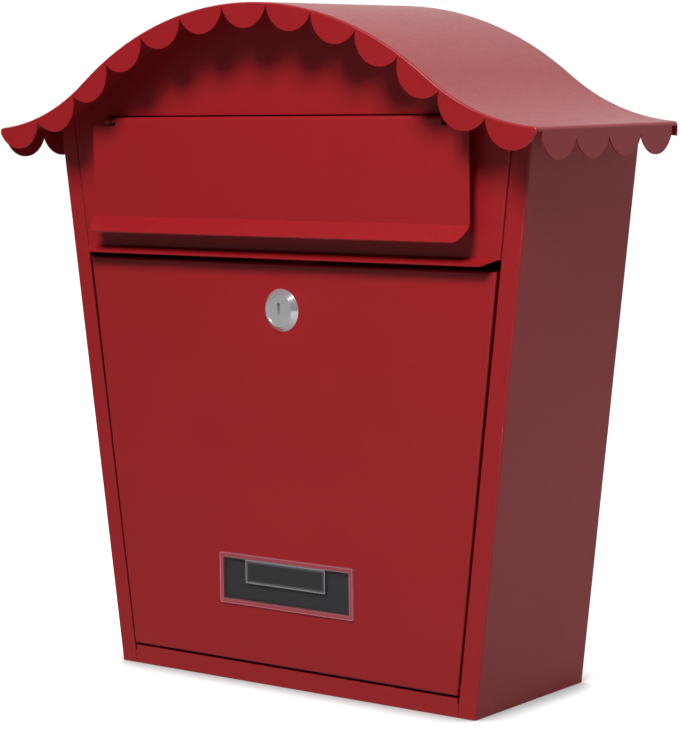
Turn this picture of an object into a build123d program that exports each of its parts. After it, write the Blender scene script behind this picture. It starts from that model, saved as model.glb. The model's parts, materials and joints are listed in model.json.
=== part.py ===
"""Wall-mounted sheet-steel post box with a scalloped roof.  Millimetres, +Z up, front towards -Y."""
import os
from math import atan2, cos, degrees, hypot, radians, sin, sqrt

from build123d import *

os.makedirs("parts", exist_ok=True)

# ---- overall sizes ----
height = 370.0            # floor to the ridge of the roof
depth = 133.0             # front scallops to the rear roof flange
sheet = 0.8               # steel sheet
bend = 1.2                # outside bend radius of folded edges

# ---- roof ----
crown_r = 190.0           # convex arc over the ridge
roof_rise = 65.0          # eaves up to the ridge
eave_overhang = 20.7      # eaves beyond the body sides
eave_slope = 4.0          # degrees below level at the eaves
roof_overhang = 28.0      # roof forward of the body front
front_count = 13          # scallops along the front
front_drop = 13.4         # scallop depth below the top surface
front_notch = 1.5         # top surface down to the notch between two scallops
side_count = 4            # scallops along each eave
side_drop = 16.5
side_notch = 5.9
corner_gap = 4.5          # front edge to the first side scallop
rear_gap = 6.7            # last side scallop to the rear edge
rear_flange = 7.5
roof_bend = 1.2           # outside bend radius along the front edge
eave_bend = 2.0           # outside bend radius along each eave

# ---- body ----
base_half = 123.2         # half width over the sides at the floor
taper = 0.1248            # half width gained per unit of height
flange = 11.0             # front flanges of the side walls
rear_corner = 3.5
strip_top = 10.2          # top of the bottom panel's front strip
strip_gap = 0.25          # strip end to the flange beside it

# ---- door ----
door_low = 11.5
door_top_gap = 6.9        # door top to the lip's fold line above it
door_proud = 1.0          # door and front panel stand forward of the flanges
door_gap_low = 1.3        # side gap at the bottom of the door
door_gap_high = 2.0       # side gap at its top
door_return = 9.0
hinge_y = 3.4             # hinge axis behind the flange plane
hinge_rise = 4.5          # hinge axis above the strip's top edge
pin_r = 1.25
pin_play = 0.06           # radial clearance of every turning fit
lug_w = 1.5

# ---- front panel ----
panel_below_slot = 31.1   # slot down to the fold line of the lip
panel_gap = 0.7
panel_lap = 6.0           # panel edge tucked behind the body flange
lip_reach = 8.3
lip_fall = 3.0
lip_end = 6.0             # mitre at each end of the lip
slot_drop = 58.8          # ridge down to the top of the slot
slot_open = 41.2          # slot height

# ---- flap ----
flap_margin = 14.0        # flap end to the panel's side edge, at the flap's bottom
flap_lap = 6.0            # flap beyond each end of the slot
flap_below = 23.1         # flap below the slot
flap_stand = 6.4          # gap behind the flap, bridged by the slot rim
flap_lip_h = 8.2          # height of the pull lip
flap_top = 0.8            # slot top down to the flap's top
shoulder_drop = 5.4       # slot top down to the flap's shoulders
tongue_gap = 11.0         # slot end to the flap's tongue
flap_corner = 7.0
rod_r = 1.25
flap_lip = 8.2            # forward throw of the pull lip

# ---- lock ----
lock_drop = 25.0          # door top down to the lock axis
bezel_r = 11.5
bezel_face_r = 8.8
bezel_h = 2.8
barrel_r = 9.0
plug_r = 7.9              # head of the turning plug
plug_back_r = 6.5         # plug behind the head
plug_head = 4.0
cam_len = 30.0            # lock axis to the cam's tip
cam_w = 13.0
cam_t = 1.5
cam_gap = 0.4             # cam behind the latch leg
tail_r = 4.0
nut_flats = 24.0
nut_t = 4.0
washer_t = 1.0
washer_r = 12.5
screw_r = 2.0
screw_head_r = 4.4
screw_head = 2.6
cam_washer_r = 5.6
cam_washer_t = 0.8

# ---- latch bracket behind the front panel ----
latch_w = 40.0
latch_rise = 1.1          # bracket shelf above the lip's fold line
latch_lap = 6.0           # latch leg behind the door's top return
latch_weld = 11.0

# ---- flap rod brackets ----
ear_gap = 5.0             # inner face of each ear beyond the flap's tongue
ear_t = 1.2
ear_leg = 12.0
ear_rise = 12.0           # ear above the slot
ear_wall = 0.65           # around the rod's hole
ear_back = 3.4
roof_clear = 1.5          # ear's top below the roof sheet
cap_wall = 0.8
cap_t = 1.5

# ---- name plate ----
plate_z = 57.3
plate_w = 92.5
plate_h = 28.0
plate_rim = 1.3           # window rim forward of the door
plate_bar = 2.6           # width of the rim's moulded edge
pull_w = 55.5
pull_h = 13.0

# ---- wall fixing holes ----
hole_r = 3.25
hole_dx = 180.0
hole_low = 80.0           # lower pair above the floor
hole_drop = 90.0          # upper pair below the ridge

# ---- sizes worked out from the ones above ----
front = -depth / 2 + roof_overhang    # front face of the body flanges
rear = depth / 2 - sheet              # back face of the body
face = front - door_proud             # front face of door and front panel
crown_z = height - crown_r
eave_z = height - roof_rise
slot_high = height - slot_drop
slot_low = slot_high - slot_open
panel_low = slot_low - panel_below_slot
door_high = panel_low - door_top_gap
lock_z = door_high - lock_drop
latch_z = panel_low + latch_rise
latch_low = door_high - latch_lap
hinge_z = strip_top + hinge_rise
rod_at = face - flap_stand + rod_r    # rod lies in the bend between flap and shelf
rod_z = slot_high - flap_top - sheet - rod_r
ear_r = rod_r + pin_play + ear_wall
cap_r = rod_r + cap_wall
flap_low = slot_low - flap_below
flap_fold = flap_low + flap_lip_h
flap_shoulder = slot_high - shoulder_drop
side_pitch = (depth - corner_gap - rear_gap) / side_count


def wall_half(z):
    """Half width over the body sides at height z."""
    return base_half + taper * z


def flange_edge(z):
    """Distance from the middle to the inner edge of a front flange at height z."""
    return wall_half(z) - flange


def panel_half(z):
    """Half width of the front panel's raised face at height z."""
    return flange_edge(z) - panel_gap


def tab_radius(pitch, sag):
    """Radius of a scallop that spans the pitch and hangs by sag below its notches."""
    return (pitch ** 2 / 4 + sag ** 2) / (2 * sag)


eave_half = wall_half(eave_z) + eave_overhang
flap_half = panel_half(flap_low) - flap_margin
slot_half = flap_half - flap_lap
tongue_half = slot_half - tongue_gap
ear_x = tongue_half + ear_gap


def eave_radius():
    """Radius of the concave arc that meets the crown arc smoothly and ends at the eave."""
    rise = eave_z - crown_z
    e = radians(eave_slope)
    top = eave_half ** 2 + rise ** 2 - crown_r ** 2
    return top / (2 * (crown_r - eave_half * sin(e) - rise * cos(e)))


sweep_r = eave_radius()
sweep_x = eave_half + sweep_r * sin(radians(eave_slope))
sweep_z = eave_z + sweep_r * cos(radians(eave_slope))
turn = degrees(atan2(sweep_x, sweep_z - crown_z))     # slope where the two arcs meet


def roof_half_curve(drop):
    """End points and mid points of the roof curve's right half, lowered square to itself."""
    r1 = crown_r - drop
    r2 = sweep_r + drop
    t = radians(turn)
    e = radians(eave_slope)
    m = (t + e) / 2
    return [(0, crown_z + r1),
            (r1 * sin(t / 2), crown_z + r1 * cos(t / 2)),
            (r1 * sin(t), crown_z + r1 * cos(t)),
            (sweep_x - r2 * sin(m), sweep_z - r2 * cos(m)),
            (sweep_x - r2 * sin(e), sweep_z - r2 * cos(e))]


def mirror_x(p):
    """The same point on the other side of the middle."""
    return (-p[0], p[1])


def roof_line(drop):
    """The whole roof curve, left eave to right eave, as four arcs in the current line."""
    a, b, c, d, e = roof_half_curve(drop)
    ThreePointArc(mirror_x(e), mirror_x(d), mirror_x(c))
    ThreePointArc(mirror_x(c), mirror_x(b), a)
    ThreePointArc(a, b, c)
    ThreePointArc(c, d, e)
    return e


def roof_point(s, drop):
    """Point at distance s along the top surface from the middle, lowered by drop."""
    side = 1 if s >= 0 else -1
    s = abs(s)
    first = crown_r * radians(turn)
    if s <= first:
        a = s / crown_r
        return (side * (crown_r - drop) * sin(a), crown_z + (crown_r - drop) * cos(a))
    a = radians(turn) - (s - first) / sweep_r
    return (side * (sweep_x - (sweep_r + drop) * sin(a)), sweep_z - (sweep_r + drop) * cos(a))


def roof_under(x):
    """Height of the roof's underside at distance x from the middle."""
    if x < (crown_r - sheet) * sin(radians(turn)):
        return crown_z + sqrt((crown_r - sheet) ** 2 - x ** 2)
    return sweep_z - sqrt((sweep_r + sheet) ** 2 - (sweep_x - x) ** 2)


curve_half = crown_r * radians(turn) + sweep_r * radians(turn - eave_slope)
front_pitch = 2 * curve_half / front_count
front_tab_r = tab_radius(front_pitch, front_drop - front_notch)
side_tab_r = tab_radius(side_pitch, side_drop - side_notch)


# ==== roof ====
eave_fold = eave_bend + 0.3           # eave edge turned down all along the sheet
with BuildSketch(Plane.XZ) as roof_outline:
    with BuildLine():
        end = roof_line(0)
        Polyline(end, (end[0], 0), (-end[0], 0), mirror_x(end))
    make_face()
    for side in (1, -1):
        fillet(roof_outline.vertices().sort_by_distance((side * eave_half, eave_z, 0))[0], eave_bend)

with BuildSketch(Plane.XZ) as roof_band:
    with BuildLine():
        outer_end = roof_line(0)
        inner_end = roof_line(sheet)
        Line(outer_end, inner_end)
        Line(mirror_x(outer_end), mirror_x(inner_end))
    make_face()
    for side in (1, -1):
        with Locations((side * (eave_half - sheet / 2), eave_z - eave_fold / 2)):
            Rectangle(sheet, eave_fold)
    for side in (1, -1):
        fillet(roof_band.vertices().sort_by_distance((side * eave_half, eave_z, 0))[0], eave_bend)
        under = (side * (eave_half - sheet), eave_z - sheet, 0)
        fillet(roof_band.vertices().sort_by_distance(under)[0], eave_bend - sheet)

with BuildSketch(Plane.XZ) as front_tabs:
    for i in range(front_count):
        at = (i - (front_count - 1) / 2) * front_pitch
        with Locations(roof_point(at, front_drop - front_tab_r)):
            Circle(front_tab_r)
    add(roof_outline.sketch, mode=Mode.INTERSECT)

with BuildSketch(Plane.XZ) as rear_band:
    with BuildLine():
        outer_end = roof_line(0)
        inner_end = roof_line(rear_flange)
        Line(outer_end, inner_end)
        Line(mirror_x(outer_end), mirror_x(inner_end))
    make_face()
    add(roof_outline.sketch, mode=Mode.INTERSECT)

side_start = -depth / 2 + corner_gap
side_end = side_start + side_count * side_pitch
with BuildSketch(Plane.YZ) as side_tabs:
    for i in range(side_count):
        with Locations((side_start + (i + 0.5) * side_pitch, eave_z - side_drop + side_tab_r)):
            Circle(side_tab_r)
    with Locations(((side_start + side_end) / 2, eave_z - eave_bend - side_drop)):
        Rectangle(side_count * side_pitch, 2 * side_drop, mode=Mode.INTERSECT)

with BuildPart() as roof:
    with Locations((0, depth / 2, 0)):
        add(extrude(roof_band.sketch, amount=depth, mode=Mode.PRIVATE))
    with Locations((0, -depth / 2 + sheet, 0)):
        add(extrude(front_tabs.sketch, amount=sheet, mode=Mode.PRIVATE))
    with Locations((0, depth / 2, 0)):
        add(extrude(rear_band.sketch, amount=sheet, mode=Mode.PRIVATE))
    with Locations((eave_half - sheet, 0, 0), (-eave_half, 0, 0)):
        add(extrude(side_tabs.sketch, amount=sheet, mode=Mode.PRIVATE))
    bent = roof.edges().filter_by_position(Axis.Y, -depth / 2, -depth / 2).filter_by(lambda e: e.length > 60)
    bent += roof.edges().filter_by_position(Axis.Y, depth / 2, depth / 2).filter_by(
        lambda e: e.length > 60 and e.center().Z > roof_point(e.center().X, sheet)[1])
    fillet(bent, roof_bend)
roof.part.label = "roof"

# everything below the roof sheet, used to trim walls and panel to the curve
with BuildSketch(Plane.XZ) as below_roof:
    with BuildLine():
        end = roof_line(sheet)
        Polyline(end, (end[0], 0), (-end[0], 0), mirror_x(end))
    make_face()
with BuildPart() as room:
    with Locations((0, depth / 2, 0)):
        add(extrude(below_roof.sketch, amount=depth, mode=Mode.PRIVATE))


def body_outline(z, inset):
    """Outline of the body at height z, moved in by inset, corners rounded."""
    with BuildSketch(Plane.XY.offset(z)) as outline:
        with Locations((0, (front + rear) / 2)):
            Rectangle(2 * (wall_half(z) - inset), rear - front - 2 * inset)
        fillet(outline.vertices().group_by(Axis.Y)[-1], rear_corner - inset)
        fillet(outline.vertices().group_by(Axis.Y)[0], bend - inset)
    return outline.sketch


def strip_outline(z, half, y_from, y_to):
    """Rectangle at height z, half wide each way, between two depths."""
    with BuildSketch(Plane.XY.offset(z)) as outline:
        with Locations((0, (y_from + y_to) / 2)):
            Rectangle(2 * half, y_to - y_from)
    return outline.sketch


# ==== body shell: two sides and back folded from one sheet ====
outside = [body_outline(0, 0), body_outline(height, 0)]
inside = [body_outline(0, sheet), body_outline(height, sheet)]
mouth = [strip_outline(z, flange_edge(z), front - 1, front + 3 * sheet) for z in (0, height)]
with BuildPart() as body_shell:
    loft(sections=outside, ruled=True)
    loft(sections=inside, ruled=True, mode=Mode.SUBTRACT)
    loft(sections=mouth, ruled=True, mode=Mode.SUBTRACT)
    add(room.part, mode=Mode.INTERSECT)
    with BuildSketch(Plane.XZ.offset(-rear)) as wall_holes:
        with Locations((0, (hole_low + height - hole_drop) / 2)):
            with GridLocations(hole_dx, height - hole_drop - hole_low, 2, 2):
                Circle(hole_r)
    extrude(amount=2 * sheet, both=True, mode=Mode.SUBTRACT)
body_shell.part.label = "body_shell"

# ==== bottom panel: tray with a front strip between the flanges ====
tray_in = 2 * sheet
tray = [body_outline(z, sheet) for z in (0, strip_top)]
hollow = [strip_outline(z, wall_half(z) - tray_in, front + sheet, rear - tray_in)
          for z in (sheet, strip_top)]
strip = [strip_outline(z, flange_edge(z) - strip_gap, front, front + 2 * sheet)
         for z in (0, strip_top)]
relief_w = 1.5
relief_h = 3.0
with BuildPart() as bottom_panel:
    loft(sections=tray, ruled=True)
    loft(sections=hollow, ruled=True, mode=Mode.SUBTRACT)
    loft(sections=strip, ruled=True)
    with Locations((0, front + 1.5 * sheet, sheet + strip_top / 2)):
        Box(2 * flange_edge(0), sheet, strip_top, mode=Mode.SUBTRACT)
    with Locations((flange_edge(strip_top) - relief_w / 2, front, strip_top),
                   (relief_w / 2 - flange_edge(strip_top), front, strip_top)):
        Box(relief_w, 3 * sheet, 2 * relief_h, mode=Mode.SUBTRACT)
bottom_panel.part.label = "bottom_panel"


# ==== front panel above the door ====
def panel_section(z):
    """Raised face, side returns and the edge strips tucked behind the body flanges."""
    a = panel_half(z)
    w = a + panel_gap + panel_lap
    lap = front + sheet
    right = [(a, face), (a, lap), (w, lap), (w, lap + sheet), (a - sheet, lap + sheet),
             (a - sheet, face + sheet)]
    left = [mirror_x(p) for p in reversed(right)]
    with BuildSketch(Plane.XY.offset(z)) as section:
        with BuildLine():
            Polyline(*right, *left, close=True)
        make_face()
        fillet(section.vertices().group_by(Axis.Y)[0], bend)
        fillet(section.vertices().group_by(Axis.Y)[1], bend - sheet)
    return section.sketch


panel = [panel_section(z) for z in (panel_low - sheet, height)]
lip_half = panel_half(panel_low) - bend
with BuildPart() as front_panel:
    loft(sections=panel, ruled=True)
    add(room.part, mode=Mode.INTERSECT)
    with Locations((0, face, (slot_low + slot_high) / 2)):
        Box(2 * slot_half, 4 * sheet, slot_high - slot_low, mode=Mode.SUBTRACT)
    with Locations((0, face + sheet - (flap_stand + sheet) / 2, slot_low - sheet / 2)):
        Box(2 * slot_half, flap_stand + sheet, sheet)
    with BuildSketch(Plane.YZ) as lip_profile:
        with BuildLine():
            Polyline((face + sheet, panel_low - sheet), (face + sheet, panel_low + 2), (face, panel_low + 2),
                     (face, panel_low), (face - lip_reach, panel_low - lip_fall),
                     (face - lip_reach, panel_low - lip_fall - sheet), (face, panel_low - sheet), close=True)
        make_face()
    extrude(amount=lip_half, both=True)
    with BuildSketch(Plane.XY.offset(panel_low + 1)) as mitres:
        with BuildLine():
            Polyline((lip_half - lip_end, face - lip_reach - 1), (lip_half, face - 0.3),
                     (lip_half + 5, face - 0.3), (lip_half + 5, face - lip_reach - 1), close=True)
        make_face()
        mirror(about=Plane.YZ)
    extrude(amount=-lip_fall - 4 * sheet, mode=Mode.SUBTRACT)
front_panel.part.label = "front_panel"

# ==== latch bracket: door stop and strike for the lock cam ====
latch_y = face + door_return
with BuildPart() as latch_bracket:
    with BuildSketch(Plane.YZ) as latch_profile:
        with BuildLine():
            Polyline((face + sheet, latch_z - sheet), (face + sheet, latch_z + latch_weld),
                     (face + 2 * sheet, latch_z + latch_weld), (face + 2 * sheet, latch_z),
                     (latch_y + sheet, latch_z), (latch_y + sheet, latch_low),
                     (latch_y, latch_low), (latch_y, latch_z - sheet), close=True)
        make_face()
        fillet(latch_profile.vertices().sort_by_distance((latch_y + sheet, latch_z, 0))[0], bend)
    extrude(amount=latch_w / 2, both=True)
latch_bracket.part.label = "latch_bracket"


# ==== brackets that carry the flap rod in front of the slot ====
ear_top = min(slot_high + ear_rise, roof_under(ear_x + ear_t) - roof_clear)


def flap_bracket(side):
    """Ear with a hole for the rod, and its leg welded behind the panel; side is +1 or -1."""
    back = face + sheet
    weld = slot_high + 1
    with BuildPart() as bracket:
        with BuildSketch(Plane.YZ.offset(side * ear_x)) as ear:
            with BuildLine():
                Polyline((rod_at, rod_z + ear_r), (back, rod_z + ear_r), (back, ear_top),
                         (back + ear_back, ear_top), (back + ear_back, rod_z - ear_r),
                         (rod_at, rod_z - ear_r), close=True)
            make_face()
            with Locations((rod_at, rod_z)):
                Circle(ear_r)
                Circle(rod_r + pin_play, mode=Mode.SUBTRACT)
        extrude(amount=side * ear_t)
        with Locations((side * (ear_x - ear_leg / 2), back + ear_t / 2, (weld + ear_top) / 2)):
            Box(ear_leg, ear_t, ear_top - weld)
    return bracket.part


flap_bracket_left = flap_bracket(-1)
flap_bracket_left.label = "flap_bracket_left"
flap_bracket_right = flap_bracket(1)
flap_bracket_right.label = "flap_bracket_right"

# ==== flap rod and its end caps ====
cap_play = 0.2            # between each ear and its cap
cap_at = ear_x + ear_t + cap_play
rod_half = cap_at + cap_t
with BuildPart() as flap_rod:
    with BuildSketch(Plane.YZ.offset(-rod_half)) as rod_round:
        with Locations((rod_at, rod_z)):
            Circle(rod_r)
    extrude(amount=2 * rod_half)
flap_rod.part.label = "flap_rod"

with BuildPart() as flap_rod_caps:
    with BuildSketch(Plane.YZ.offset(cap_at), Plane.YZ.offset(-rod_half)) as cap_rings:
        with Locations((rod_at, rod_z)):
            Circle(cap_r)
            Circle(rod_r, mode=Mode.SUBTRACT)
    extrude(amount=cap_t)
flap_rod_caps.part.label = "flap_rod_caps"

# ==== flap ====
flap_back = face - flap_stand
flap_face = flap_back - sheet
shelf_top = slot_high - flap_top
shelf_low = shelf_top - sheet
shelf_end = face - 0.3
rise = flap_fold - flap_low
slant = hypot(flap_lip, rise)
lean_y = sheet * rise / slant         # lip thickness split into depth and height
lean_z = sheet * flap_lip / slant
fold_back = flap_low + (flap_lip + sheet - lean_y) * rise / flap_lip
with BuildPart() as flap:
    with BuildSketch(Plane.YZ) as flap_profile:
        with BuildLine():
            Polyline((flap_face - flap_lip, flap_low + lean_z), (flap_face, flap_fold + lean_z),
                     (flap_face, shelf_top), (shelf_end, shelf_top), (shelf_end, shelf_low),
                     (flap_back, shelf_low), (flap_back, fold_back),
                     (flap_face - flap_lip + lean_y, flap_low), close=True)
        make_face()
        fillet(flap_profile.vertices().sort_by_distance((flap_face, shelf_top, 0))[0], rod_r + sheet)
        fillet(flap_profile.vertices().sort_by_distance((flap_back, shelf_low, 0))[0], rod_r)
    extrude(amount=flap_half, both=True)
    with BuildSketch(Plane.XZ.offset(-rear)) as flap_front:
        with BuildLine():
            Polyline((flap_half, flap_low), (flap_half, flap_shoulder), (tongue_half, flap_shoulder),
                     (tongue_half, height), (-tongue_half, height), (-tongue_half, flap_shoulder),
                     (-flap_half, flap_shoulder), (-flap_half, flap_low), close=True)
        make_face()
        fillet(flap_front.vertices().group_by(Axis.Y)[0], flap_corner)
    extrude(amount=depth * 2, mode=Mode.INTERSECT)
flap.part.label = "flap"


# ==== door ====
def door_half(z, inset):
    """Half width of the door at height z, moved in by inset."""
    share = (z - door_low) / (door_high - door_low)
    gap = door_gap_low + share * (door_gap_high - door_gap_low)
    return flange_edge(z) - gap - inset


pin_at = front + hinge_y
bore_y = face - bezel_h
barrel_end = latch_y + sheet + cam_gap
shell_out = [strip_outline(z, door_half(z, 0), face, face + door_return) for z in (door_low, door_high)]
shell_in = [strip_outline(z, door_half(z, sheet), face + sheet, face + 2 * door_return)
            for z in (door_low + sheet, door_high - sheet)]
window_w = plate_w - 2 * plate_bar
window_h = plate_h - 2 * plate_bar
with BuildPart() as door_hollow:
    loft(sections=shell_in, ruled=True)
    fillet(door_hollow.faces().sort_by(Axis.Y)[0].edges(), bend - sheet)
with BuildPart() as door:
    loft(sections=shell_out, ruled=True)
    fillet(door.faces().sort_by(Axis.Y)[0].edges(), bend)
    add(door_hollow.part, mode=Mode.SUBTRACT)
    with BuildSketch(Plane.XZ.offset(-face)) as door_cuts:
        with Locations((0, lock_z)):
            Circle(barrel_r)
        with Locations((0, plate_z)):
            Rectangle(window_w, window_h)
    extrude(amount=2 * sheet, both=True, mode=Mode.SUBTRACT)
    with BuildSketch(Plane.YZ) as door_pin_holes:
        with Locations((pin_at, hinge_z)):
            Circle(pin_r)
    extrude(amount=eave_half, both=True, mode=Mode.SUBTRACT)
door.part.label = "door"

# ==== hinge lugs behind the flanges, and hinge pins ====
lug_x = flange_edge(hinge_z) + 0.4
lug_back = 7.0
pin_head_r = hinge_z - door_low - sheet   # head just clears the door's bottom return
pin_head = 1.2


def hinge_lug(side):
    """Plate standing on the bottom panel behind a flange; side is +1 or -1."""
    with BuildPart() as lug:
        with BuildSketch(Plane.YZ.offset(side * lug_x)) as plate:
            with BuildLine():
                Polyline((front + sheet, sheet), (front + sheet, hinge_z + 4),
                         (front + lug_back, hinge_z + 4), (front + lug_back, sheet), close=True)
            make_face()
            with Locations((pin_at, hinge_z)):
                Circle(pin_r + pin_play, mode=Mode.SUBTRACT)
            fillet(plate.vertices().sort_by_distance((front + lug_back, hinge_z + 4, 0))[0], 2.5)
        extrude(amount=side * lug_w)
    return lug.part


def hinge_pin(side):
    """Pin through the door's side return into the lug; side is +1 or -1."""
    inner = side * door_half(hinge_z - pin_head_r, sheet)
    outer = side * (lug_x + lug_w + 0.8)
    with BuildPart() as pin:
        with BuildSketch(Plane.YZ.offset(inner)) as shank:
            with Locations((pin_at, hinge_z)):
                Circle(pin_r)
        extrude(amount=outer - inner)
        with BuildSketch(Plane.YZ.offset(inner)) as head:
            with Locations((pin_at, hinge_z)):
                Circle(pin_head_r)
        extrude(amount=-side * pin_head)
    return pin.part


hinge_lug_left = hinge_lug(-1)
hinge_lug_left.label = "hinge_lug_left"
hinge_lug_right = hinge_lug(1)
hinge_lug_right.label = "hinge_lug_right"
hinge_pin_left = hinge_pin(-1)
hinge_pin_left.label = "hinge_pin_left"
hinge_pin_right = hinge_pin(1)
hinge_pin_right.label = "hinge_pin_right"

# ==== name plate: clear window, card and back frame ====
boss_back = face + sheet + 0.6
pane = 1.0
card_t = 0.4
card_w = window_w - 3
card_h = window_h - 2.4
frame_t = 1.2
with BuildPart() as nameplate_window:
    with BuildSketch(Plane.XZ.offset(-face)) as rim_outline:
        with Locations((0, plate_z)):
            RectangleRounded(plate_w, plate_h, 0.8)
    extrude(amount=plate_rim)
    with BuildSketch(Plane.XZ.offset(-face)) as boss_outline:
        with Locations((0, plate_z)):
            Rectangle(window_w, window_h)
    extrude(amount=face - boss_back)
    with BuildSketch(Plane.XZ.offset(plate_rim - face)) as sunk:
        with Locations((0, plate_z)):
            Rectangle(window_w, window_h)
        with Locations((0, plate_z + window_h / 2 - pull_h / 2)):
            Rectangle(pull_w, pull_h, mode=Mode.SUBTRACT)
    extrude(amount=-(plate_rim + boss_back - face - pane), mode=Mode.SUBTRACT)
nameplate_window.part.label = "nameplate_window"

with BuildPart() as name_card:
    with BuildSketch(Plane.XZ.offset(-boss_back)) as card_outline:
        with Locations((0, plate_z)):
            Rectangle(card_w, card_h)
    extrude(amount=-card_t)
name_card.part.label = "name_card"

with BuildPart() as nameplate_back:
    with BuildSketch(Plane.XZ.offset(-face - sheet)) as back_outline:
        with Locations((0, plate_z)):
            RectangleRounded(plate_w + 2, plate_h, 2)
    extrude(amount=face + sheet - boss_back - card_t - frame_t)
    with BuildSketch(Plane.XZ.offset(-face - sheet)) as boss_seat:
        with Locations((0, plate_z)):
            Rectangle(window_w, window_h)
    extrude(amount=face + sheet - boss_back, mode=Mode.SUBTRACT)
    with BuildSketch(Plane.XZ.offset(-boss_back)) as card_seat:
        with Locations((0, plate_z)):
            Rectangle(card_w, card_h)
    extrude(amount=-card_t, mode=Mode.SUBTRACT)
    with BuildSketch(Plane.XZ.offset(-boss_back)) as back_opening:
        with Locations((0, plate_z)):
            Rectangle(card_w - 8, card_h - 6)
    extrude(amount=-card_t - 2 * frame_t, mode=Mode.SUBTRACT)
nameplate_back.part.label = "nameplate_back"

# ==== lock: body, nut, washer, plug, cam, cam washer, cam screw ====
lock_face = Plane((0, bore_y, lock_z), x_dir=(1, 0, 0), z_dir=(0, 1, 0))   # looks into the door
head_bore = plug_r + pin_play
back_bore = plug_back_r + pin_play
with BuildPart() as lock_body:
    with BuildSketch(Plane.YZ) as body_profile:
        with BuildLine():
            Polyline((bore_y, lock_z + head_bore), (bore_y, lock_z + bezel_face_r),
                     (face, lock_z + bezel_r), (face, lock_z + barrel_r),
                     (barrel_end, lock_z + barrel_r), (barrel_end, lock_z + back_bore),
                     (bore_y + plug_head, lock_z + back_bore), (bore_y + plug_head, lock_z + head_bore),
                     close=True)
        make_face()
    revolve(axis=Axis((0, 0, lock_z), (0, 1, 0)))
lock_body.part.label = "lock_body"


def lock_disc(y, radius, length):
    """Round bar along the lock axis from depth y."""
    with BuildPart() as disc:
        with BuildSketch(Plane((0, y, lock_z), x_dir=(1, 0, 0), z_dir=(0, 1, 0))) as ring:
            Circle(radius)
        extrude(amount=length)
    return disc.part


plug_front = bore_y + 0.3
key_slot = 8.0
cam_back = barrel_end + cam_t
screw_len = 6.0
with BuildPart() as lock_plug:
    add(lock_disc(plug_front, plug_r, bore_y + plug_head - plug_front))
    add(lock_disc(bore_y + plug_head, plug_back_r, barrel_end - bore_y - plug_head))
    add(lock_disc(barrel_end, tail_r, cam_t))
    add(lock_disc(cam_back - screw_len, screw_r, screw_len), mode=Mode.SUBTRACT)
    with Locations((0, plug_front, lock_z)):
        Box(2.1, 9.0, key_slot, mode=Mode.SUBTRACT)
lock_plug.part.label = "lock_plug"

with BuildPart() as lock_cam:
    with BuildSketch(Plane((0, barrel_end, lock_z), x_dir=(1, 0, 0), z_dir=(0, 1, 0))) as cam_outline:
        Circle(cam_w / 2)
        with Locations((cam_len / 2, 0)):
            Rectangle(cam_len, cam_w)
        Circle(tail_r, mode=Mode.SUBTRACT)
        fillet(cam_outline.vertices().group_by(Axis.X)[-1], 3)
    extrude(amount=cam_t)
lock_cam.part.label = "lock_cam"

with BuildPart() as cam_washer:
    add(lock_disc(cam_back, cam_washer_r, cam_washer_t))
    add(lock_disc(cam_back, screw_r, cam_washer_t), mode=Mode.SUBTRACT)
cam_washer.part.label = "cam_washer"

head_at = cam_back + cam_washer_t
with BuildPart() as cam_screw:
    add(lock_disc(cam_back - screw_len + 0.5, screw_r, head_at - cam_back + screw_len - 0.5))
    add(lock_disc(head_at, screw_head_r, screw_head))
    fillet(cam_screw.edges().group_by(Axis.Y)[-1], 1.0)
    with Locations((0, head_at + screw_head, lock_z)):
        Box(1.0, 2.2, 5.2, mode=Mode.SUBTRACT)
        Box(5.2, 2.2, 1.0, mode=Mode.SUBTRACT)
cam_screw.part.label = "cam_screw"

with BuildPart() as lock_washer:
    add(lock_disc(face + sheet, washer_r, washer_t))
    add(lock_disc(face + sheet, barrel_r, washer_t), mode=Mode.SUBTRACT)
lock_washer.part.label = "lock_washer"

nut_at = face + sheet + washer_t
with BuildPart() as lock_nut:
    with BuildSketch(Plane((0, nut_at, lock_z), x_dir=(1, 0, 0), z_dir=(0, 1, 0))) as nut_outline:
        RegularPolygon(nut_flats / 2, 6, major_radius=False)
        Circle(barrel_r, mode=Mode.SUBTRACT)
    extrude(amount=nut_t)
lock_nut.part.label = "lock_nut"

pieces = [roof.part, body_shell.part, bottom_panel.part, front_panel.part, latch_bracket.part,
          flap_bracket_left, flap_bracket_right, flap_rod.part, flap_rod_caps.part, flap.part,
          door.part, hinge_lug_left, hinge_lug_right, hinge_pin_left, hinge_pin_right,
          nameplate_window.part, name_card.part, nameplate_back.part, lock_body.part,
          lock_nut.part, lock_washer.part, lock_plug.part, lock_cam.part, cam_washer.part,
          cam_screw.part]
for piece in pieces:
    export_step(piece, "parts/" + piece.label + ".step")
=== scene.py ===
"""Looks, light and camera for the scalloped-roof post box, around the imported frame."""
import json
import math

import bpy
from mathutils import Matrix, Vector

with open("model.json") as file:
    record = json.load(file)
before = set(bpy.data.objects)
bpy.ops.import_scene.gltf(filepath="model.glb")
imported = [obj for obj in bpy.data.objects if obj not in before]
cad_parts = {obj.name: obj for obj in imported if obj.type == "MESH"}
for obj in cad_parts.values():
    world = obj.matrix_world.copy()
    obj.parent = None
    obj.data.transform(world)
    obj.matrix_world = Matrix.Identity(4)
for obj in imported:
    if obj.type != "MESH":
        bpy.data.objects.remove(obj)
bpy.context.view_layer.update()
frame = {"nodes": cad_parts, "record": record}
nodes = frame["nodes"]
scene = bpy.context.scene


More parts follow.
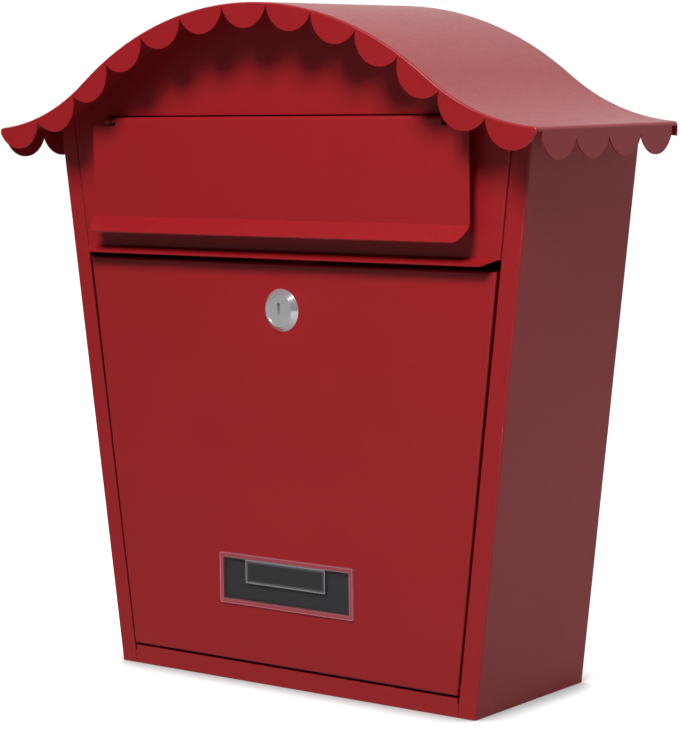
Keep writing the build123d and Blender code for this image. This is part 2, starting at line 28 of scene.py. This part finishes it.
# ---------------------------------------------------------------- materials
# Noise scales are in features per metre, and bump distances in metres.
MID_NOISE = (0.3, 0.7)
COAT_GRAIN, COAT_PEEL, COAT_CLOUD, COAT_GLOSS = 900.0, 260.0, 14.0, 300.0
COAT_ROUGH = (0.36, 0.42)
GRAIN_DEPTH, PEEL_DEPTH = 0.00012, 0.0004
PAINT_IOR = 1.5
ZINC_LINES, ZINC_CLOUD, ZINC_STRETCH = 260.0, 120.0, (1.0, 12.0, 12.0)
ZINC_ROUGH = (0.28, 0.42)
ZINC_DEPTH = 0.00008
CHROME_MARKS, CHROME_DEPTH, CHROME_METALLIC = 700.0, 0.00004, 0.75
CHROME_ROUGH = (0.10, 0.17)
CHROME_LIGHT, CHROME_DIM = (0.96, 0.96, 0.97), (0.86, 0.86, 0.88)
PANE_FLOW, PANE_GLOSS, PANE_DEPTH = 60.0, 180.0, 0.0003
PANE_ROUGH = (0.05, 0.11)
PANE_ALPHA, PANE_IOR = 0.45, 1.49
CARD_FIBRES, CARD_DEPTH = 1400.0, 0.00008
PLASTIC_ERODE, PLASTIC_DEPTH = 1100.0, 0.0001


def new_material(name):
    """An empty node material with a Principled shader; returns (material, tree, shader)."""
    mat = bpy.data.materials.new(name)
    mat.use_nodes = True
    tree = mat.node_tree
    shader = tree.nodes["Principled BSDF"]
    return mat, tree, shader


def noise(tree, coords, scale, detail=3.0, rough=0.5):
    """Noise over object coordinates, scale in features per metre."""
    n = tree.nodes.new("ShaderNodeTexNoise")
    n.inputs["Scale"].default_value = scale
    n.inputs["Detail"].default_value = detail
    n.inputs["Roughness"].default_value = rough
    tree.links.new(coords, n.inputs["Vector"])
    return n.outputs["Fac"]


def ramp(tree, fac, low, high, a=0.0, b=1.0):
    """Maps a factor between a and b to a value between low and high."""
    m = tree.nodes.new("ShaderNodeMapRange")
    m.inputs["From Min"].default_value = a
    m.inputs["From Max"].default_value = b
    m.inputs["To Min"].default_value = low
    m.inputs["To Max"].default_value = high
    tree.links.new(fac, m.inputs["Value"])
    return m.outputs["Result"]


def mix_colour(tree, fac, first, second):
    """Blends two colours by a factor."""
    m = tree.nodes.new("ShaderNodeMix")
    m.data_type = "RGBA"
    m.inputs["A"].default_value = (*first, 1)
    m.inputs["B"].default_value = (*second, 1)
    tree.links.new(fac, m.inputs["Factor"])
    return m.outputs["Result"]


def bump(tree, height, strength, distance, under=None):
    """Bump from a height value; distance in metres."""
    b = tree.nodes.new("ShaderNodeBump")
    b.inputs["Strength"].default_value = strength
    b.inputs["Distance"].default_value = distance
    tree.links.new(height, b.inputs["Height"])
    if under is not None:
        tree.links.new(under, b.inputs["Normal"])
    return b.outputs["Normal"]


def object_coords(tree):
    """Object coordinates, in metres, the same for every piece."""
    return tree.nodes.new("ShaderNodeTexCoord").outputs["Object"]


def powder_coat(name, base, deep):
    """Satin powder coat: fine orange peel, faint mottling and a little uneven gloss."""
    mat, tree, shader = new_material(name)
    link = tree.links.new
    at = object_coords(tree)
    grain = noise(tree, at, COAT_GRAIN, 2.0)
    peel = noise(tree, at, COAT_PEEL, 2.0)
    cloud = noise(tree, at, COAT_CLOUD, 4.0, 0.55)
    mottle = ramp(tree, cloud, 0, 1, *MID_NOISE)
    link(mix_colour(tree, mottle, base, deep), shader.inputs["Base Color"])
    gloss = noise(tree, at, COAT_GLOSS, 3.0)
    link(ramp(tree, gloss, *COAT_ROUGH, *MID_NOISE), shader.inputs["Roughness"])
    fine = bump(tree, grain, 0.10, GRAIN_DEPTH)
    link(bump(tree, peel, 0.06, PEEL_DEPTH, fine), shader.inputs["Normal"])
    shader.inputs["IOR"].default_value = PAINT_IOR
    shader.inputs["Specular IOR Level"].default_value = 0.5
    return mat


def plated_steel(name, base):
    """Zinc-plated steel: fine scratches along the sheet and a cloudy sheen."""
    mat, tree, shader = new_material(name)
    link = tree.links.new
    at = object_coords(tree)
    stretch = tree.nodes.new("ShaderNodeMapping")
    stretch.inputs["Scale"].default_value = ZINC_STRETCH
    link(at, stretch.inputs["Vector"])
    lines = noise(tree, stretch.outputs["Vector"], ZINC_LINES, 4.0, 0.6)
    cloud = noise(tree, at, ZINC_CLOUD, 3.0)
    tone = tuple(0.8 * v for v in base)
    sheen = ramp(tree, cloud, 0, 1, 0.35, 0.65)
    link(mix_colour(tree, sheen, base, tone), shader.inputs["Base Color"])
    link(ramp(tree, lines, *ZINC_ROUGH, *MID_NOISE), shader.inputs["Roughness"])
    link(bump(tree, lines, 0.15, ZINC_DEPTH), shader.inputs["Normal"])
    shader.inputs["Metallic"].default_value = 1.0
    return mat


def chrome_plate(name):
    """Polished chrome with very faint polishing marks."""
    mat, tree, shader = new_material(name)
    link = tree.links.new
    at = object_coords(tree)
    marks = noise(tree, at, CHROME_MARKS, 3.0, 0.6)
    link(mix_colour(tree, marks, CHROME_LIGHT, CHROME_DIM), shader.inputs["Base Color"])
    link(ramp(tree, marks, *CHROME_ROUGH, *MID_NOISE), shader.inputs["Roughness"])
    link(bump(tree, marks, 0.05, CHROME_DEPTH), shader.inputs["Normal"])
    shader.inputs["Metallic"].default_value = CHROME_METALLIC
    return mat


def maths(tree, operation, first, second):
    """A math node over two sockets or numbers."""
    node = tree.nodes.new("ShaderNodeMath")
    node.operation = operation
    for socket, value in zip(node.inputs, (first, second)):
        if isinstance(value, float):
            socket.default_value = value
        else:
            tree.links.new(value, socket)
    return node.outputs["Value"]


def bands(tree, distance, stops):
    """Colours over a distance in metres: each stop is (metres, colour)."""
    reach = stops[-1][0]
    node = tree.nodes.new("ShaderNodeValToRGB")
    node.color_ramp.elements[0].position = 0.0
    node.color_ramp.elements[0].color = (*stops[0][1], 1)
    node.color_ramp.elements[1].position = 1.0
    node.color_ramp.elements[1].color = (*stops[-1][1], 1)
    for far, colour in stops[1:-1]:
        node.color_ramp.elements.new(far / reach).color = (*colour, 1)
    tree.links.new(ramp(tree, distance, 0.0, 1.0, 0.0, reach), node.inputs["Fac"])
    return node.outputs["Color"]


def clear_plastic(name, low, high):
    """Clear moulded window between two corners: tinted pane, with painted highlights and the red
    door behind painted into the rim, and painted highlight lines along the pull.
    """
    mat, tree, shader = new_material(name)
    link = tree.links.new
    at = object_coords(tree)
    flow = noise(tree, at, PANE_FLOW, 2.0)
    apart = tree.nodes.new("ShaderNodeSeparateXYZ")
    link(at, apart.inputs["Vector"])
    across = maths(tree, "ABSOLUTE", apart.outputs["X"], 0.0)
    middle = (low.z + high.z) / 2
    above = maths(tree, "SUBTRACT", apart.outputs["Z"], middle)
    from_side = maths(tree, "SUBTRACT", high.x, across)
    from_end = maths(tree, "SUBTRACT", high.z - middle, maths(tree, "ABSOLUTE", above, 0.0))
    inward = maths(tree, "MINIMUM", from_side, from_end)
    # Painted rim: painted edge highlights and the red door behind painted in, graded by distance
    # from the window's edge.
    rim = bands(tree, inward, RIM_PAINTED_EDGE_LIGHT)
    pull_side = maths(tree, "SUBTRACT", PULL_HALF, across)
    pull_end = maths(tree, "SUBTRACT", above, PULL_LOW)
    pull_top = maths(tree, "SUBTRACT", inward, RIM_WIDTH)
    pull_in = maths(tree, "MINIMUM", maths(tree, "MINIMUM", pull_side, pull_end), pull_top)
    # Painted highlight lines along the finger pull, kept off the rim.
    pull = bands(tree, pull_in, PULL_PAINTED_HIGHLIGHT)
    # The painted pull highlight is added onto the painted rim and pane colour.
    painted_rim_and_pull = tree.nodes.new("ShaderNodeMix")
    painted_rim_and_pull.data_type = "RGBA"
    painted_rim_and_pull.blend_type = "ADD"
    painted_rim_and_pull.inputs["Factor"].default_value = 1.0
    link(rim, painted_rim_and_pull.inputs["A"])
    link(pull, painted_rim_and_pull.inputs["B"])
    link(painted_rim_and_pull.outputs["Result"], shader.inputs["Base Color"])
    gloss = noise(tree, at, PANE_GLOSS, 3.0)
    link(ramp(tree, gloss, *PANE_ROUGH, *MID_NOISE), shader.inputs["Roughness"])
    link(bump(tree, flow, 0.04, PANE_DEPTH), shader.inputs["Normal"])
    shader.inputs["Alpha"].default_value = PANE_ALPHA
    shader.inputs["IOR"].default_value = PANE_IOR
    return mat


def paper_card(name, base):
    """Uncoated card: fibres and a slightly uneven tone."""
    mat, tree, shader = new_material(name)
    link = tree.links.new
    at = object_coords(tree)
    fibres = noise(tree, at, CARD_FIBRES, 4.0, 0.7)
    tone = tuple(1.25 * v for v in base)
    link(mix_colour(tree, fibres, base, tone), shader.inputs["Base Color"])
    link(ramp(tree, fibres, 0.75, 0.9), shader.inputs["Roughness"])
    link(bump(tree, fibres, 0.2, CARD_DEPTH), shader.inputs["Normal"])
    return mat


def moulded_plastic(name, base):
    """Dark moulded plastic with a spark-eroded texture."""
    mat, tree, shader = new_material(name)
    link = tree.links.new
    at = object_coords(tree)
    erode = noise(tree, at, PLASTIC_ERODE, 2.0)
    tone = tuple(1.3 * v for v in base)
    link(mix_colour(tree, erode, base, tone), shader.inputs["Base Color"])
    link(ramp(tree, erode, 0.5, 0.65), shader.inputs["Roughness"])
    link(bump(tree, erode, 0.25, PLASTIC_DEPTH), shader.inputs["Normal"])
    return mat


PANE = (0.070, 0.067, 0.074)
# Painted highlights on the rim's outer and inner edges, with the red door behind painted into
# the rim between them; the last stop is the pane's own tint.
RIM_PAINTED_EDGE_LIGHT = [(0.0, (0.90, 0.42, 0.47)), (0.0006, (0.75, 0.14, 0.18)),
             (0.0020, (0.75, 0.14, 0.18)), (0.0023, (0.50, 0.38, 0.42)), (0.0027, PANE)]
RIM_WIDTH = 0.0025
PULL_HALF = 0.02775
PULL_LOW = -0.0016
# Painted highlight along the pull's edge: a bright line, then a fainter lit band inside it,
# added onto the rim and pane colour.
PULL_PAINTED_HIGHLIGHT = [(0.0, (0.0, 0.0, 0.0)), (0.0001, (0.55, 0.53, 0.56)),
              (0.0006, (0.45, 0.43, 0.46)), (0.0008, (0.13, 0.12, 0.14)),
              (0.0015, (0.16, 0.15, 0.17)), (0.0018, (0.0, 0.0, 0.0))]
RED = (0.335, 0.0085, 0.0125)
RED_DEEP = (0.310, 0.0075, 0.0112)
red_body = powder_coat("red_powder_coat", RED, RED_DEEP)
zinc = plated_steel("zinc_plate", (0.60, 0.60, 0.58))
chrome = chrome_plate("chrome_plate")
window_corners = [Vector(c) for c in nodes["nameplate_window"].bound_box]
window_low = Vector(map(min, *window_corners))
window_high = Vector(map(max, *window_corners))
clear = clear_plastic("clear_plastic", window_low, window_high)
card = paper_card("dark_card", (0.06, 0.057, 0.062))
dark = moulded_plastic("dark_plastic", (0.030, 0.030, 0.033))
BY_SLOT = {"red_paint": red_body, "zinc_steel": zinc, "chrome": chrome,
           "clear_plastic": clear, "card": card, "dark_plastic": dark}

slot_of = {row["node"]: row["material_slot"] for row in frame["record"]["subparts"]}
for name, obj in nodes.items():
    obj.data.materials.clear()
    obj.data.materials.append(BY_SLOT[slot_of[name]])

# ---------------------------------------------------------------- camera
MM = 0.001
FRONT_Y = -38.5
SENSOR, LENS = 36.0, 122.5475
YAW, PITCH, ROLL = math.radians(38.0), math.radians(6.37), math.radians(-0.87)
forward = Vector((-math.sin(YAW) * math.cos(PITCH),
                  math.cos(YAW) * math.cos(PITCH),
                  -math.sin(PITCH)))
level = Vector((math.cos(YAW), math.sin(YAW), 0))
upright = level.cross(forward)
right = level * math.cos(ROLL) + upright * math.sin(ROLL)
up = -level * math.sin(ROLL) + upright * math.cos(ROLL)
eye = Vector((842.8, -1029.6 + FRONT_Y, 324.9)) * MM
cam_data = bpy.data.cameras.new("camera")
cam_data.sensor_width = SENSOR
cam_data.lens = LENS
cam_data.clip_start = 0.05
cam_data.clip_end = 50
cam = bpy.data.objects.new("camera", cam_data)
cam.matrix_world = Matrix((
    (right.x, up.x, -forward.x, eye.x),
    (right.y, up.y, -forward.y, eye.y),
    (right.z, up.z, -forward.z, eye.z),
    (0, 0, 0, 1)))
scene.collection.objects.link(cam)
scene.camera = cam


# ---------------------------------------------------------------- studio
# Floor bounce as a light, floor glow for the camera, and a painted contact shadow under the box,
# darkened in by ambient occlusion.
FLOOR_NEAR, FLOOR_FAR = 0.27, 0.64
FLOOR_GLOW = 0.72
FLOOR_HALF, FLOOR_DROP = 6.0, 0.0002
FLOOR_PAINTED_SHADE, FLOOR_WHITE = (0.02, 0.02, 0.02), (0.80, 0.80, 0.80)
BOUNCE_WAY, BOUNCE_FROM, BOUNCE_TO = (0.6, 0.8, 0.0), -0.3, 0.5
# Reach, start and darkest value of the painted contact shadow.
CONTACT_REACH, CONTACT_FROM, CONTACT_PAINTED_SHADE = 0.028, 0.5, 0.38
# The world is bright on one side, behind the box, and dim in front of it.
BRIGHT_SIDE = (-0.3, 1.0, 0.45)
BRIGHT_FROM, BRIGHT_TO = 0.1, 0.85
DIM, BRIGHT = 0.05, 0.95
WHITE = (1, 1, 1, 1)
KEY_AT, KEY_AIM, KEY_SIZE, KEY_POWER = (0.39, -1.46, 1.66), (0.0, 0.0, 0.2), (0.8, 0.6), 48


def floor_material():
    """White studio floor that reads as white, with a painted contact shadow under the box
    darkened in by ambient occlusion.
    """
    mat, tree, shader = new_material("studio_floor")
    link = tree.links.new
    at = object_coords(tree)
    seen = tree.nodes.new("ShaderNodeLightPath").outputs["Is Camera Ray"]
    # Painted contact shadow: ambient occlusion darkens the floor colour and glow under the box.
    occlusion = tree.nodes.new("ShaderNodeAmbientOcclusion")
    occlusion.inputs["Distance"].default_value = CONTACT_REACH
    painted_contact_shade = ramp(tree, occlusion.outputs["AO"], CONTACT_PAINTED_SHADE, 1.0, CONTACT_FROM, 1.0)
    tone = mix_colour(tree, painted_contact_shade, FLOOR_PAINTED_SHADE, FLOOR_WHITE)
    bounce = tree.nodes.new("ShaderNodeMix")
    bounce.data_type = "RGBA"
    away = tree.nodes.new("ShaderNodeVectorMath")
    away.operation = "DOT_PRODUCT"
    away.inputs[1].default_value = BOUNCE_WAY
    link(at, away.inputs[0])
    lift = ramp(tree, away.outputs["Value"], FLOOR_NEAR, FLOOR_FAR, BOUNCE_FROM, BOUNCE_TO)
    link(lift, bounce.inputs["A"])
    link(seen, bounce.inputs["Factor"])
    link(tone, bounce.inputs["B"])
    link(bounce.outputs["Result"], shader.inputs["Base Color"])
    # Glow for the camera, darkened by the painted contact shadow.
    glow = maths(tree, "MULTIPLY", ramp(tree, seen, 0.0, FLOOR_GLOW), painted_contact_shade)
    link(glow, shader.inputs["Emission Strength"])
    shader.inputs["Emission Color"].default_value = WHITE
    shader.inputs["Roughness"].default_value = 0.9
    shader.inputs["Specular IOR Level"].default_value = 0.1
    return mat


def studio_world():
    """White behind the object for the camera; dim in front and bright behind as a light."""
    made = bpy.data.worlds.new("studio_world")
    made.use_nodes = True
    tree = made.node_tree
    link = tree.links.new
    lit = tree.nodes["Background"]
    out = tree.nodes["World Output"]
    way = tree.nodes.new("ShaderNodeTexCoord").outputs["Generated"]
    dot = tree.nodes.new("ShaderNodeVectorMath")
    dot.operation = "DOT_PRODUCT"
    dot.inputs[1].default_value = Vector(BRIGHT_SIDE).normalized()
    link(way, dot.inputs[0])
    step = tree.nodes.new("ShaderNodeMapRange")
    step.interpolation_type = "SMOOTHSTEP"
    step.inputs["From Min"].default_value = BRIGHT_FROM
    step.inputs["From Max"].default_value = BRIGHT_TO
    step.inputs["To Min"].default_value = DIM
    step.inputs["To Max"].default_value = BRIGHT
    link(dot.outputs["Value"], step.inputs["Value"])
    link(step.outputs["Result"], lit.inputs["Strength"])
    lit.inputs["Color"].default_value = WHITE
    white = tree.nodes.new("ShaderNodeBackground")
    white.inputs["Color"].default_value = WHITE
    choose = tree.nodes.new("ShaderNodeMixShader")
    link(tree.nodes.new("ShaderNodeLightPath").outputs["Is Camera Ray"], choose.inputs["Fac"])
    link(lit.outputs["Background"], choose.inputs[1])
    link(white.outputs["Background"], choose.inputs[2])
    link(choose.outputs["Shader"], out.inputs["Surface"])
    return made


def softbox(name, at, aim, size, power):
    """White rectangular area light at a place, turned to a point."""
    data = bpy.data.lights.new(name, "AREA")
    data.shape = "RECTANGLE"
    data.size, data.size_y = size
    data.energy = power
    obj = bpy.data.objects.new(name, data)
    obj.location = at
    obj.rotation_mode = "QUATERNION"
    obj.rotation_quaternion = (Vector(aim) - Vector(at)).to_track_quat("-Z", "Y")
    scene.collection.objects.link(obj)


floor = bpy.data.objects.new("studio_floor", bpy.data.meshes.new("studio_floor"))
floor.data.from_pydata([(-FLOOR_HALF, -FLOOR_HALF, 0), (FLOOR_HALF, -FLOOR_HALF, 0),
                        (FLOOR_HALF, FLOOR_HALF, 0), (-FLOOR_HALF, FLOOR_HALF, 0)],
                       [], [(0, 1, 2, 3)])
floor.location.z = -FLOOR_DROP
floor.data.materials.append(floor_material())
scene.collection.objects.link(floor)

scene.view_settings.view_transform = "Standard"
scene.world = studio_world()

softbox("key", KEY_AT, KEY_AIM, KEY_SIZE, KEY_POWER)
